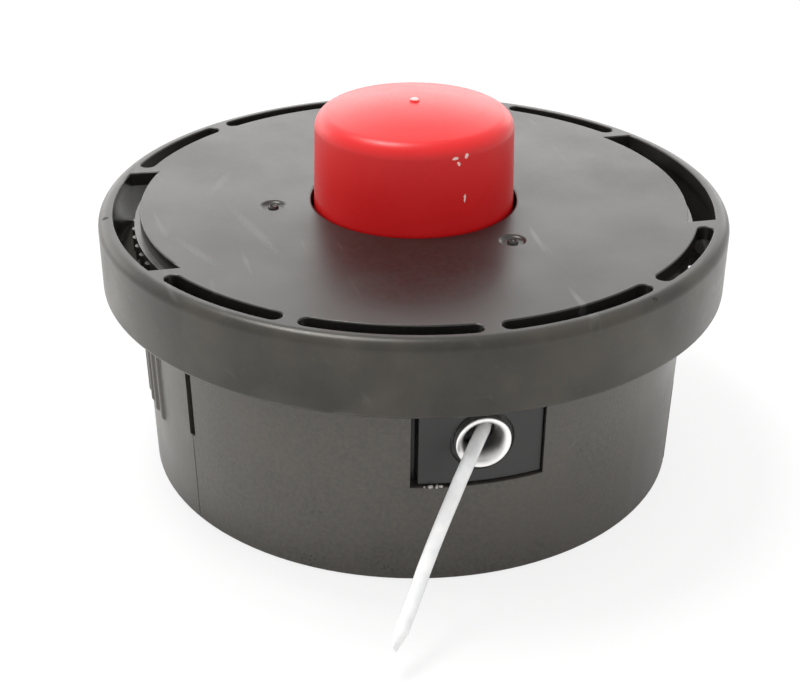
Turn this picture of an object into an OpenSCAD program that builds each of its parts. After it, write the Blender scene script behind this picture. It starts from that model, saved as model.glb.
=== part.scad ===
// Bump feed trimmer head for a brush cutter, standing on its drive side
// with the bump knob up. The Z axis is the axis that the head spins on.
// The two line eyelets look along -Y and +Y, the two latches along -X and +X.

/* [Cover] */
// Outside diameter of the cover
cover_d = 115; // [112:0.5:130]
// Height of the cover's flat top above the drive side
cover_top = 50; // [48:0.5:58]
// Thickness of the cover's top plate
cover_t = 2.5; // [2:0.1:3.2]
// Outside height of the cover's skirt
skirt_h = 13.7; // [12:0.1:18]
// Thickness of the cover's skirt
skirt_t = 2.2; // [1.6:0.1:3]
// Radius on the cover's outer top edge
cover_edge_r = 2; // [1:0.1:2.2]
// Gap all round the knob in the cover's hole
knob_gap = 0.55; // [0.4:0.05:1]
// Radial width of the narrow slots in the top
slot_w = 2.9; // [2:0.1:3.2]
// Radial width of the wide slots over the latches
latch_slot_w = 4.8; // [4:0.1:6]
// Room at each end of the wide slots past the latch hooks
latch_room = 1.4; // [0.8:0.1:2]
// Width of the bridges between the narrow slots
slot_bridge = 3; // [2:0.1:5]
// Angle of the narrow slot's bridge away from the eyelets
slot_bridge_angle = 34.3; // [30:0.1:38]
// Width of the bridges beside the wide slots
latch_bridge = 3.8; // [2.5:0.1:6]
// Distance from the centre to the three gate dimples
gate_r = 26; // [24:0.1:40]
// Diameter of the gate dimples
gate_d = 5; // [3:0.1:6]

/* [Housing] */
// Gap between the housing's wall and the cover's skirt
skirt_gap = 4.2; // [3.6:0.1:6]
// How much smaller the housing's radius is at its base
housing_draft = 1; // [0:0.1:2]
// Thickness of the housing's wall
wall_t = 2.5; // [2:0.1:3]
// Thickness of the housing's floor
floor_t = 3; // [2:0.1:4]
// Depth of the shallow ribbed pocket under the floor
foot_h = 3; // [2:0.1:3.8]
// Diameter of the recess that takes the gear case flange
recess_d = 46; // [40:0.5:50]
// Depth of the gear case recess
recess_depth = 9; // [7:0.1:10]
// Number of ribs under the floor
foot_ribs = 16; // [8:1:24]
// Outside diameter of the hub tube that the spool slides on
hub_d = 25; // [24.6:0.1:26]
// Height of the hub tube's top above the drive side
hub_top = 52; // [49:0.5:53]
// Width of the slits beside each latch tab
slit_w = 1.5; // [1:0.1:2]
// Angle of each slit from the middle of its latch tab
slit_angle = 27; // [25.5:0.5:30]
// Height of the bottom of the slits
slit_z = 18; // [12:0.5:24]
// Number of grip ribs on each latch tab
grip_ribs = 7; // [3:2:9]
// Angle between two grip ribs
grip_pitch = 4.33; // [3.5:0.01:5]
// Diameter of one grip rib
grip_d = 1.7; // [1.2:0.1:2]
// Height of the lower end of the grip ribs
grip_z = 15.5; // [12:0.5:20]

/* [Eyelets] */
// Height of the eyelet's axis above the drive side
eyelet_z = 27.3; // [26:0.1:29]
// Diameter of the eyelet's bore
eyelet_bore_d = 6; // [4:0.1:6.4]
// Diameter of the eyelet's flared rim
eyelet_rim_d = 9.4; // [9:0.1:11]
// Diameter of the eyelet's barrel
eyelet_barrel_d = 8; // [7.6:0.1:8.6]
// Thickness of the eyelet's flared rim
eyelet_rim_t = 1.6; // [1.2:0.1:1.8]
// Depth of the eyelet's flared mouth
eyelet_flare = 3.2; // [2:0.1:3.6]
// Gap all round the eyelet's rim in its holder
rim_gap = 0.7; // [0.3:0.1:1]
// Width of the eyelet holder's face
holder_w = 21.1; // [18:0.1:23]
// Height of the lower edge of the notch that takes the eyelet holder
notch_z = 19.1; // [18:0.1:21]
// How far the holder's face lies behind the wall's surface
panel_set = 0.6; // [0.2:0.1:1]
// Gap between the notch and the holder, left side seen from outside
panel_gap_left = 1.3; // [0.3:0.1:1.4]
// Gap between the notch and the holder, right side seen from outside
panel_gap_right = 0.3; // [0.2:0.1:1]

/* [Spool] */
// Gap between the spool's flanges and the eyelet holders
spool_gap = 1.9; // [1:0.1:4]
// Thickness of the top and bottom flanges
flange_t = 2; // [1.6:0.1:2.6]
// Thickness of the flange between the two line chambers
divider_t = 1.8; // [1.4:0.1:2.6]
// Room for the feed spring between the hub tube and the spool's barrel
spring_room = 3.7; // [3.5:0.1:5]
// Wall thickness of the spool's barrel
barrel_t = 2.3; // [1.8:0.1:2.3]
// How far the knob and spool travel when the head is bumped
bump_travel = 6; // [5:0.1:6.5]
// Number of catch lugs on each face of the spool
lugs = 12; // [6:6:12]
// Width of one catch lug
lug_w = 5; // [4:0.1:5.3]
// Height of the spool's upper catch lugs
lug_h = 4.4; // [4:0.1:5]
// Height of the lower catch lugs
low_lug_h = 2.5; // [2:0.1:3]
// Diameter of the trimmer line
line_d = 2.4; // [2:0.1:2.7]
// How far the line wound in the upper chamber lies inside the flanges
upper_wind_depth = 5; // [2:0.5:12]
// How far the line wound in the lower chamber lies inside the flanges
lower_wind_depth = 6.5; // [2:0.5:8]

/* [Knob] */
// How much the knob's radius is less than the spool barrel's
knob_step = 0.15; // [0.1:0.05:0.5]
// How much smaller the knob's radius is at its top
knob_draft = 0.35; // [0:0.05:0.8]
// Height of the knob's straight side above the cover
knob_side_h = 13.6; // [12:0.1:16]
// Radius on the knob's upper edge
knob_edge_r = 3; // [2:0.1:3.6]
// Rise of the knob's crowned top above its edge
knob_crown = 1.7; // [0.8:0.1:2.4]
// Thickness of the knob's wall
knob_t = 2.3; // [2:0.05:2.4]

/* [Spring] */
// Wire diameter of the feed spring
wire_d = 1.6; // [1.2:0.1:1.7]
// Number of free coils in the feed spring
free_coils = 5; // [3:0.5:6]
// Thickness of the washer under the spring
spring_washer_t = 0.8; // [0.5:0.1:1.2]
// Sheet thickness of the cup above the spring
cup_t = 0.8; // [0.5:0.1:1]
// Depth of the spring cup's rim
cup_h = 4; // [3:0.1:5]

/* [Drive nut] */
// Diameter of the nut's threaded hole, M10 x 1.25 left hand minor diameter
nut_bore_d = 8.65; // [6:0.05:9]
// Width across the flats of the nut
nut_af = 17; // [15:0.5:17]
// Height of the nut's hexagon
nut_hex_h = 10; // [8:0.1:12]
// Diameter of the nut's round flange
nut_flange_d = 20.4; // [20:0.1:20.6]
// Thickness of the nut's round flange
nut_flange_t = 2; // [1.5:0.1:3]
// Thickness of the washer on the nut
nut_washer_t = 1; // [0.8:0.1:1.6]
// Thickness of the ring that keeps the nut in
ring_t = 1.2; // [1:0.1:1.5]

/* [Hidden] */
$fn = 96;

// Gap between fixed pieces that slide together by hand
fit = 0.1;
// Gap between faces that move past each other
run_gap = 0.4;
// Axial play of the spool under the cover
end_play = 0.2;
// Radial running clearance of the spool on the hub tube
journal_gap = 0.08;
// Overlength of every cutting solid past the face that it cuts
over = 1;

// Heights, from the drive side up
wall_top = cover_top - cover_t;
floor_top = foot_h + floor_t;
web_top = recess_depth + floor_t;
spool_top = wall_top - end_play - lug_h;
spool_bottom = floor_top + bump_travel + low_lug_h + run_gap;
dish_bottom = web_top + spring_washer_t + bump_travel + run_gap;
cover_lug_bottom = spool_top + run_gap;
divider_z = (spool_bottom + spool_top - divider_t) / 2;
shoulder_t = 3;
shoulder_z = spool_top - shoulder_t;
skirt_z = cover_top - skirt_h;
knob_seat = spool_top;
knob_shoulder = cover_top + knob_side_h;
knob_top = knob_shoulder + knob_edge_r + knob_crown;
stem_top = knob_shoulder - knob_edge_r - 1;

// Radii
cover_r = cover_d / 2;
skirt_in = cover_r - skirt_t;
housing_r = skirt_in - skirt_gap;
holder_flange_t = 2;
holder_back = wall_in(notch_z) - fit - holder_flange_t;
slot_out = skirt_in - 0.5;
slot_in = slot_out - slot_w;
latch_slot_in = slot_out - latch_slot_w;
hub_r = hub_d / 2;
hub_bore = nut_flange_d / 2 + 0.3;
spool_r = holder_back - spool_gap;
barrel_in = hub_r + spring_room;
barrel_r = barrel_in + barrel_t;
spring_r = (hub_r + barrel_in) / 2;
stem_in = hub_r + journal_gap;
stem_relief = hub_r + 1;
knob_r = barrel_r - knob_step;
cover_hole_r = knob_r + knob_gap;
knob_in = knob_r - knob_t;
stem_r = knob_in - 0.3;
recess_wall_t = 3;
recess_wall_r = recess_d / 2 + recess_wall_t;
dish_r = recess_wall_r + 0.8;
lug_in = knob_r + 3.2;
lug_l = 6;
low_lug_in = dish_r + flange_t + 0.4;

// Radius of the housing's outer and inner face at a height
function wall_out(z) = housing_r - housing_draft * (1 - z / wall_top);
function wall_in(z) = wall_out(z) - wall_t;

// Points of an arc, for the rounded corners of profiles
function arc(cx, cy, r, from, to, steps = 8) =
    [for (i = [0:steps]) let (a = from + (to - from) * i / steps) [cx + r * cos(a), cy + r * sin(a)]];

// A plain ring standing on a height
module ring(out, inner, z, h) {
    translate([0, 0, z])
        difference() {
            cylinder(r = out, h = h);
            translate([0, 0, -over]) cylinder(r = inner, h = h + 2 * over);
        }
}

// A wedge of space between two angles, for cutting sectors
module sector(from, to, reach, z, h) {
    translate([0, 0, z])
        linear_extrude(height = h)
            polygon([[0, 0], [reach * cos(from), reach * sin(from)], [reach * cos(to), reach * sin(to)]]);
}

// A catch lug with one square face and one sloping back, along +X at a radius
module catch_lug(inner, length, h, side) {
    slope = 0.45 * lug_w;
    translate([inner, side * end_play / 2, 0])
        rotate([90, 0, 90])
            linear_extrude(height = length)
                polygon([[0, 0], [side * lug_w, 0], [side * (lug_w - slope), h], [0, h]]);
}

// The same lug all round
module lug_ring(inner, length, h, side, turn = 0) {
    for (i = [0:lugs - 1]) rotate([0, 0, turn + i * 360 / lugs]) catch_lug(inner, length, h, side);
}

// HOUSING
latch_hook_r = skirt_in - 1.3;
latch_ledge_in = latch_hook_r - 1.7;
hook_z = skirt_z + 4.2;
latch_half = wall_in(hook_z) * sin(slit_angle) - slit_w;
latch_slot_half = latch_half + latch_room;
slot_end_angle = acos(latch_slot_half / slot_out) - latch_bridge / slot_out * 180 / PI;
hook_h = 3;
foot_edge = 0.7;
foot_rib_t = 1.6;
foot_rim_in = wall_out(0) - wall_t;
rail_w = 1.5;
holder_flange_w = 25;

// The whole turned section of the housing: recess, foot, wall, floor, hub and nut seat
module housing_shell() {
    seat_top = recess_depth + nut_hex_h;
    ring_low = seat_top + nut_flange_t + nut_washer_t;
    ring_high = ring_low + ring_t + fit;
    rotate_extrude()
        polygon(concat(
            [[0, recess_depth], [recess_d / 2, recess_depth], [recess_d / 2, 0.5], [recess_d / 2 + 0.5, 0],
                [recess_wall_r, 0], [recess_wall_r, foot_h], [foot_rim_in, foot_h], [foot_rim_in, 0]],
            arc(wall_out(0) - foot_edge, foot_edge, foot_edge, -90, 0, 5),
            [[wall_out(wall_top), wall_top], [wall_in(wall_top), wall_top]],
            arc(wall_in(floor_top + 2) - 2, floor_top + 2, 2, 0, -90, 5),
            [[recess_wall_r, floor_top], [recess_wall_r, web_top], [hub_r, web_top], [hub_r, hub_top - 0.6],
                [hub_r - 0.6, hub_top], [hub_bore, hub_top], [hub_bore, ring_high], [hub_bore + 0.7, ring_high],
                [hub_bore + 0.7, ring_low], [hub_bore, ring_low], [hub_bore, seat_top], [0, seat_top]]));
}

// Ribs across the shallow pocket under the floor
module foot_rib_ring() {
    for (i = [0:foot_ribs - 1])
        rotate([0, 0, (i + 0.5) * 360 / foot_ribs])
            translate([recess_wall_r - 0.5, -foot_rib_t / 2, 0])
                cube([foot_rim_in - recess_wall_r + 1, foot_rib_t, foot_h + 0.5]);
}

// The hexagonal seat of the nut
module nut_seat() {
    translate([0, 0, recess_depth - over])
        cylinder(d = (nut_af + fit) / cos(30), h = nut_hex_h + 2 * over, $fn = 6);
}

// One slit through the wall, open at the top
module slit(angle) {
    rotate([0, 0, angle])
        translate([wall_in(0) - 3, -slit_w / 2, slit_z]) cube([10, slit_w, wall_top]);
}

// The hook at the top of a latch tab, over the cover's ledge
module latch_hook() {
    intersection() {
        rotate_extrude()
            polygon([[wall_in(hook_z) + 1, hook_z], [latch_hook_r, hook_z], [latch_hook_r, hook_z + 1],
                [wall_out(hook_z + hook_h) - 0.2, hook_z + hook_h + 1], [wall_in(hook_z) + 1, hook_z + hook_h + 1]]);
        translate([0, -latch_half, hook_z - over]) cube([cover_r, 2 * latch_half, hook_h + 4]);
    }
}

// The fine upright ribs that the fingers press, rounded off at their lower end
module grip() {
    lean = atan(housing_draft / wall_top);
    for (i = [0:grip_ribs - 1])
        rotate([0, 0, (i - (grip_ribs - 1) / 2) * grip_pitch])
            translate([wall_out(grip_z) - 0.35, 0, grip_z])
                rotate([0, lean, 0])
                    rotate_extrude($fn = 24)
                        polygon(concat([[0, wall_top - 1 - grip_z]], arc(0, 0, grip_d / 2, -90, 0, 4),
                            [[grip_d / 2, wall_top - 1 - grip_z]]));
}

// Upright rails inside the wall that the eyelet holder slides between
module holder_rails() {
    for (side = [-1, 1])
        intersection() {
            translate([side * (holder_flange_w / 2 + fit + rail_w / 2) - rail_w / 2, -housing_r, floor_top - 0.5])
                cube([rail_w, 12, wall_top - 3 - floor_top]);
            ring(wall_in(floor_top) + 1, wall_in(notch_z) - holder_flange_t - 0.3, 0, wall_top);
        }
}

// Catch lugs on the floor, half a step on from the spool's own
module lug_ring_floor() {
    translate([0, 0, floor_top - 0.5]) lug_ring(low_lug_in, lug_l, low_lug_h + 0.5, 1, 60 / lugs);
}

module housing() {
    color([0.2, 0.2, 0.2])
        difference() {
            union() {
                housing_shell();
                foot_rib_ring();
                lug_ring_floor();
                for (turn = [0, 180]) rotate([0, 0, turn]) {
                    latch_hook();
                    grip();
                    holder_rails();
                }
            }
            nut_seat();
            for (turn = [0, 180]) rotate([0, 0, turn]) {
                slit(slit_angle);
                slit(-slit_angle);
                translate([-holder_w / 2 - panel_gap_left, -2 * housing_r, notch_z])
                    cube([holder_w + panel_gap_left + panel_gap_right, 1.4 * housing_r, wall_top]);
            }
        }
}

// COVER
module cover_shell() {
    edge = cover_edge_r;
    lip = 0.8;
    rotate_extrude()
        polygon(concat(
            [[cover_hole_r, wall_top + 0.3], [cover_hole_r, cover_top - 0.3],
                [cover_hole_r + 0.3, cover_top]],
            arc(cover_r - edge, cover_top - edge, edge, 90, 0, 8),
            arc(cover_r - lip, skirt_z + lip, lip, 0, -90, 5),
            [[skirt_in + 0.3, skirt_z], [skirt_in, skirt_z + 0.3], [skirt_in, wall_top],
                [cover_hole_r + 0.3, wall_top]]));
}

// A curved slot with round ends between two angles, as one outline
module curved_slot(from, to) {
    end_r = slot_w / 2;
    mid = slot_out - end_r;
    turn = asin(end_r / mid);
    a = from + turn;
    b = to - turn;
    translate([0, 0, wall_top - over])
        linear_extrude(height = cover_t + 2 * over)
            polygon(concat(
                arc(0, 0, slot_out, a, b, 12),
                arc(mid * cos(b), mid * sin(b), end_r, b + 20, b + 160, 6),
                arc(0, 0, slot_in, b, a, 12),
                arc(mid * cos(a), mid * sin(a), end_r, a + 200, a + 340, 6)));
}

// The slots of one quarter, with a bridge over the eyelet's axis
module quarter_slots() {
    half = slot_bridge / 2 / slot_out * 180 / PI;
    curved_slot(-90 + half, -90 + slot_bridge_angle - half);
    curved_slot(-90 + slot_bridge_angle + half, -90 + slot_end_angle);
}

module latch_slot() {
    intersection() {
        ring(slot_out, latch_slot_in, wall_top - over, cover_t + 2 * over);
        translate([0, -latch_slot_half, wall_top - 2 * over])
            cube([cover_r, 2 * latch_slot_half, cover_t + 4 * over]);
    }
}

// The ledge under the wide slot that the latch hook holds down
module latch_ledge() {
    intersection() {
        ring(skirt_in + 0.5, latch_ledge_in, hook_z - end_play - 2.4, 2.4);
        translate([0, -latch_slot_half, 0]) cube([cover_r, 2 * latch_slot_half, cover_top]);
    }
}

// A short collar that centres the cover in the housing, clear of holders and tabs
module centring_collar() {
    for (i = [0:3])
        intersection() {
            ring(wall_in(wall_top) - 0.3, wall_in(wall_top) - 2, wall_top - 3, 3 + 0.5);
            sector(32 + i * 90, 58 + i * 90, cover_d, wall_top - 4, 6);
        }
}

module cover_ribs() {
    from = lug_in + lug_l + 1.5;
    for (i = [0:15])
        rotate([0, 0, (i + 0.5) * 22.5])
            translate([from, -0.6, wall_top - 2]) cube([wall_in(wall_top) - 4 - from, 1.2, 2.5]);
}

// A shallow dimple with the stub of the moulding gate in it
module gate_dimple() {
    translate([gate_r, 0, cover_top - 0.5])
        difference() {
            cylinder(d1 = gate_d - 1.4, d2 = gate_d + 1.4, h = 1);
            translate([0, 0, -over]) cylinder(d = 1.2, h = over + 0.35, $fn = 24);
        }
}

module cover() {
    color([0.24, 0.24, 0.245])
        difference() {
            union() {
                cover_shell();
                centring_collar();
                cover_ribs();
                translate([0, 0, wall_top + 0.5]) mirror([0, 0, 1])
                    lug_ring(lug_in, lug_l, wall_top + 0.5 - cover_lug_bottom, -1);
                for (turn = [0, 180]) rotate([0, 0, turn]) latch_ledge();
            }
            for (turn = [0, 180]) rotate([0, 0, turn]) {
                quarter_slots();
                mirror([1, 0, 0]) quarter_slots();
                latch_slot();
            }
            for (a = [58, 178, 298]) rotate([0, 0, a]) gate_dimple();
        }
}

// KNOB
ring_groove_z = knob_seat + 7;
ring_wire = 1.4;

module bump_knob() {
    top_r = knob_r - knob_draft;
    crown_r = top_r - knob_edge_r;
    crown_ball = (crown_r * crown_r + knob_crown * knob_crown) / (2 * knob_crown);
    crown_z = knob_top - crown_ball;
    half_angle = asin(crown_r / crown_ball);
    color([0.8, 0.1, 0.1])
        union() {
            rotate_extrude($fn = 128)
                polygon(concat(
                    [[knob_in, knob_seat], [knob_r, knob_seat]],
                    [[knob_r, cover_top]],
                    arc(top_r - knob_edge_r, knob_shoulder, knob_edge_r, 0, 90 - half_angle, 7),
                    arc(0, crown_z, crown_ball, 90 - half_angle * 0.85, 90, 6),
                    [[0, knob_top - knob_t], [stem_r - 2.6, knob_top - knob_t - 1], [stem_r - 2.6, stem_top + 0.1],
                        [knob_in, stem_top + 0.1],
                        [knob_in, ring_groove_z + 0.8], [knob_in + 0.6, ring_groove_z + 0.8],
                        [knob_in + 0.6, ring_groove_z - 0.8], [knob_in, ring_groove_z - 0.8]]));
            translate([0, 0, knob_top - 0.3]) cylinder(r1 = 1, r2 = 0.6, h = 0.8, $fn = 24);
        }
}

// Open wire ring between the knob and the spool's stem
module knob_retaining_ring() {
    mid = (stem_r + knob_in) / 2;
    color([0.62, 0.62, 0.64])
        difference() {
            rotate_extrude() translate([mid, ring_groove_z]) circle(d = ring_wire, $fn = 16);
            translate([0, -1.5, ring_groove_z - 2]) cube([knob_r, 3, 4]);
        }
}

// SPOOL
module spool_body() {
    rotate_extrude()
        polygon([
            [barrel_in, dish_bottom], [dish_r, dish_bottom], [dish_r, spool_bottom], [spool_r, spool_bottom],
            [spool_r, spool_bottom + flange_t], [dish_r + flange_t, spool_bottom + flange_t],
            [dish_r + flange_t, dish_bottom + flange_t], [barrel_r, dish_bottom + flange_t],
            [barrel_r, divider_z], [spool_r, divider_z], [spool_r, divider_z + divider_t],
            [barrel_r, divider_z + divider_t], [barrel_r, spool_top - flange_t], [spool_r, spool_top - flange_t],
            [spool_r, spool_top], [stem_r, spool_top], [stem_r, ring_groove_z - 0.8],
            [stem_r - 0.6, ring_groove_z - 0.8], [stem_r - 0.6, ring_groove_z + 0.8], [stem_r, ring_groove_z + 0.8],
            [stem_r, stem_top], [stem_relief, stem_top], [stem_relief, spool_top + 3],
            [stem_in, spool_top + 2.6], [stem_in, shoulder_z], [barrel_in, shoulder_z]]);
}

// Notches in the rim that the line is tucked into when it is wound
module line_notch() {
    translate([spool_r, 0, spool_bottom - over]) cylinder(r = 2.2, h = spool_top - spool_bottom + 2 * over, $fn = 32);
}

module spool() {
    color([0.13, 0.13, 0.135])
        difference() {
            union() {
                spool_body();
                translate([0, 0, spool_top - 0.5]) lug_ring(lug_in, lug_l, lug_h + 0.5, 1);
                translate([0, 0, spool_bottom + 0.5]) mirror([0, 0, 1])
                    lug_ring(low_lug_in, lug_l, low_lug_h + 0.5, -1);
            }
            for (a = [45, 225]) rotate([0, 0, a]) line_notch();
        }
}

// A chamber full of line, its outermost turns showing as ridges
module winding(z_low, z_high, depth, step_r, step_z) {
    turns = floor((z_high - z_low) / line_d);
    pitch = (z_high - z_low) / turns;
    out = spool_r - depth - line_d / 2;
    rotate_extrude($fn = 64)
        polygon(concat(
            [[barrel_r, step_z], [step_r, step_z], [step_r, z_low]],
            [for (i = [0:turns - 1], a = [-60, 0, 60])
                [out + line_d / 2 * cos(a), z_low + (i + 0.5) * pitch + pitch / 2 * sin(a)]],
            [[out, z_high], [barrel_r, z_high]]));
}

module upper_line_winding() {
    low = divider_z + divider_t;
    color([0.86, 0.87, 0.86]) winding(low, spool_top - flange_t, upper_wind_depth, barrel_r + 1, low);
}

module lower_line_winding() {
    color([0.86, 0.87, 0.86])
        winding(spool_bottom + flange_t, divider_z, lower_wind_depth, dish_r + flange_t, dish_bottom + flange_t);
}

// LINE END
// Route of the free line end, from inside the front eyelet to its cut tip
line_route = [[1.6, -45.7, 27.9], [1.2, -46.5, 27.9], [0.8, -47.5, 27.9], [-0.2, -49.1, 27.7], [-1.2, -50.6, 27.3],
    [-2.1, -51.9, 26.8], [-3, -53.1, 26.1], [-4, -54.3, 25.2], [-5.2, -55.6, 23.9], [-6.6, -57.1, 22.1],
    [-8.3, -58.8, 19.9], [-10, -60.5, 17.6], [-11.6, -62.2, 15.4], [-13.2, -64, 13.2], [-14.7, -65.9, 11.1],
    [-16.3, -67.8, 9], [-18, -69.8, 6.9], [-19.9, -71.8, 4.9]];

function unit(v) = v / norm(v);
function route_dir(p, i) = unit(p[min(i + 1, len(p) - 1)] - p[max(i - 1, 0)]);

// A round tube swept along points, with a ring of corners square to the route at each
module tube(points, radius, sides, up = [0, 0, 1]) {
    count = len(points);
    corners = [for (i = [0:count - 1]) let (t = route_dir(points, i), u = unit(cross(up, t)), v = cross(t, u))
        for (k = [0:sides - 1]) points[i] + radius * (cos(k * 360 / sides) * u + sin(k * 360 / sides) * v)];
    walls = [for (i = [0:count - 2], k = [0:sides - 1])
        [i * sides + k, i * sides + (k + 1) % sides, (i + 1) * sides + (k + 1) % sides, (i + 1) * sides + k]];
    first = [for (k = [0:sides - 1]) sides - 1 - k];
    last = [for (k = [0:sides - 1]) (count - 1) * sides + k];
    polyhedron(points = corners, faces = concat([first], walls, [last]), convexity = 6);
}

module line_end() {
    color([0.88, 0.89, 0.88]) tube(line_route, line_d / 2, 8);
}

// EYELETS
eyelet_out = wall_out(eyelet_z) + 0.2;
eyelet_seat = eyelet_out - eyelet_rim_t;
eyelet_in = holder_back - 0.3;

// Polished metal eyelet along its own axis, with a flared mouth
module eyelet() {
    bore = eyelet_bore_d / 2;
    mouth = eyelet_rim_d / 2 - 0.4;
    rotate([90, 0, 0])
        rotate_extrude($fn = 64)
            polygon(concat(
                [[bore, eyelet_in + 0.6]],
                [for (a = [0:10:90]) [mouth - (mouth - bore) * cos(a), eyelet_out - eyelet_flare * (1 - sin(a))]],
                arc(eyelet_rim_d / 2 - 0.25, eyelet_out - 0.25, 0.25, 90, 0, 3),
                [[eyelet_rim_d / 2, eyelet_seat], [eyelet_barrel_d / 2, eyelet_seat],
                    [eyelet_barrel_d / 2, eyelet_in], [bore + 0.6, eyelet_in]]));
}

module eyelet_front() {
    color([0.9, 0.9, 0.9]) translate([0, 0, eyelet_z]) eyelet();
}

module eyelet_rear() {
    color([0.9, 0.9, 0.9]) rotate([0, 0, 180]) translate([0, 0, eyelet_z]) eyelet();
}

// Insert that fills the notch and carries the eyelet
module holder() {
    low = notch_z + 3 * fit;
    difference() {
        intersection() {
            rotate_extrude($fn = 128)
                polygon([[holder_back, notch_z - 3], [wall_out(notch_z - 3) - panel_set, notch_z - 3],
                    [wall_out(wall_top) - panel_set, wall_top - fit], [holder_back, wall_top - fit]]);
            union() {
                translate([-holder_w / 2, -housing_r, low]) cube([holder_w, 10, wall_top]);
                intersection() {
                    translate([-holder_flange_w / 2, -housing_r, notch_z - 2])
                        cube([holder_flange_w, 10, wall_top]);
                    rotate_extrude($fn = 128)
                        polygon([[holder_back - 1, notch_z - 4], [wall_in(notch_z - 4) - fit, notch_z - 4],
                            [wall_in(wall_top) - fit, wall_top], [holder_back - 1, wall_top]]);
                }
            }
        }
        translate([0, 0, eyelet_z]) rotate([90, 0, 0]) {
            cylinder(d = eyelet_barrel_d + 2 * fit, h = cover_r);
            translate([0, 0, eyelet_seat - fit]) cylinder(d = eyelet_rim_d + 2 * rim_gap, h = 10);
        }
    }
}

module eyelet_holder_front() {
    color([0.16, 0.16, 0.18]) holder();
}

module eyelet_holder_rear() {
    color([0.16, 0.16, 0.18]) rotate([0, 0, 180]) holder();
}

// SPRING
spring_low = web_top + spring_washer_t;
spring_high = shoulder_z - cup_t;

// Height of the coil's centre line: one closed turn at each end, free coils between
function coil_z(turn) = let (all = free_coils + 2, open = spring_high - spring_low - 3 * wire_d)
    spring_low + wire_d / 2 + (turn < 1 ? turn * wire_d
        : turn > all - 1 ? wire_d + open + (turn - all + 1) * wire_d
        : wire_d + open * (turn - 1) / free_coils);

module feed_spring() {
    steps = 16;
    count = (free_coils + 2) * steps;
    path = [for (i = [0:count]) let (t = i / steps)
        [spring_r * cos(t * 360), spring_r * sin(t * 360), coil_z(t)]];
    color([0.6, 0.6, 0.62]) tube(path, wire_d / 2 * 0.98, 8);
}

module spring_cup() {
    cup_out = barrel_in - 0.3;
    color([0.66, 0.66, 0.68])
        union() {
            ring(cup_out, stem_in + 0.3, spring_high, cup_t);
            ring(cup_out, cup_out - cup_t * 0.6, shoulder_z - cup_h, cup_h);
        }
}

module spring_washer() {
    color([0.66, 0.66, 0.68]) ring(barrel_in, hub_r + 0.1, web_top, spring_washer_t);
}

// DRIVE NUT
module drive_nut() {
    color([0.7, 0.7, 0.72])
        difference() {
            union() {
                translate([0, 0, recess_depth]) cylinder(d = nut_af / cos(30), h = nut_hex_h, $fn = 6);
                translate([0, 0, recess_depth + nut_hex_h]) cylinder(d = nut_flange_d, h = nut_flange_t);
            }
            translate([0, 0, recess_depth - over]) cylinder(d = nut_bore_d, h = nut_hex_h + nut_flange_t + 2 * over);
        }
}

module nut_washer() {
    color([0.66, 0.66, 0.68])
        ring(nut_flange_d / 2, nut_bore_d / 2 + 1.1, recess_depth + nut_hex_h + nut_flange_t, nut_washer_t);
}

// Open ring in the hub tube's groove, with two lugs for the pliers
module nut_retaining_ring() {
    z = recess_depth + nut_hex_h + nut_flange_t + nut_washer_t;
    lug_turn = asin(2.4 / (hub_bore - 2));
    color([0.45, 0.45, 0.47])
        difference() {
            union() {
                ring(hub_bore + 0.6, hub_bore - 1.4, z, ring_t);
                for (side = [-1, 1]) rotate([0, 0, side * lug_turn])
                    translate([hub_bore - 2, 0, z]) cylinder(r = 1.7, h = ring_t, $fn = 24);
            }
            translate([0, -1.6, z - over]) cube([hub_bore + 2, 3.2, ring_t + 2 * over]);
            for (side = [-1, 1]) rotate([0, 0, side * lug_turn])
                translate([hub_bore - 2, 0, z - over]) cylinder(r = 0.7, h = ring_t + 2 * over, $fn = 16);
        }
}

housing();
cover();
bump_knob();
knob_retaining_ring();
spool();
upper_line_winding();
lower_line_winding();
line_end();
eyelet_front();
eyelet_rear();
eyelet_holder_front();
eyelet_holder_rear();
feed_spring();
spring_cup();
spring_washer();
drive_nut();
nut_washer();
nut_retaining_ring();
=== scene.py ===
# %% [markdown]
# # A bump-feed trimmer head
# This is the cutting head of a brush cutter, standing on its drive side with the red bump knob up.
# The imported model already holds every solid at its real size, so this script only dresses it: the
# camera, the free end of the line, the studio, and the finish of each plastic and metal piece.

# %% Load the frame
import math
import random

import bmesh
import bpy
from mathutils import Matrix, Vector


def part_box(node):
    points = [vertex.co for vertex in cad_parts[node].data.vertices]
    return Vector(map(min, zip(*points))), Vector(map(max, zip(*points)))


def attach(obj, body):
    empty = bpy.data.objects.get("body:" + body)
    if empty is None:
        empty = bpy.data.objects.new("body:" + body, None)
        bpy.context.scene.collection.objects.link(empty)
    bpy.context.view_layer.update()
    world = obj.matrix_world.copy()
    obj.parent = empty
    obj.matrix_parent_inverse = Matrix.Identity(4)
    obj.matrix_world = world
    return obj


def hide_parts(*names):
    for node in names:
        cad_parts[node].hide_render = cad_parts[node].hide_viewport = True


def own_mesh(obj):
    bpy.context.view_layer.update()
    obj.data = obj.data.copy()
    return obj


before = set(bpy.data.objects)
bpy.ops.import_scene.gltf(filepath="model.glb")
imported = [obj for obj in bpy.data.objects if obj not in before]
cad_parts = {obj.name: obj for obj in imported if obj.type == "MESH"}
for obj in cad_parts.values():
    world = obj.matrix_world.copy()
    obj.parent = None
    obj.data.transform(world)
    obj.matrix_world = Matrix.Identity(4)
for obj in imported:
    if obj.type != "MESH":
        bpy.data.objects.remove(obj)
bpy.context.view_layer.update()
scene = bpy.context.scene
MM = 0.001
print("pieces in the frame:", ", ".join(sorted(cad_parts)))

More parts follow.
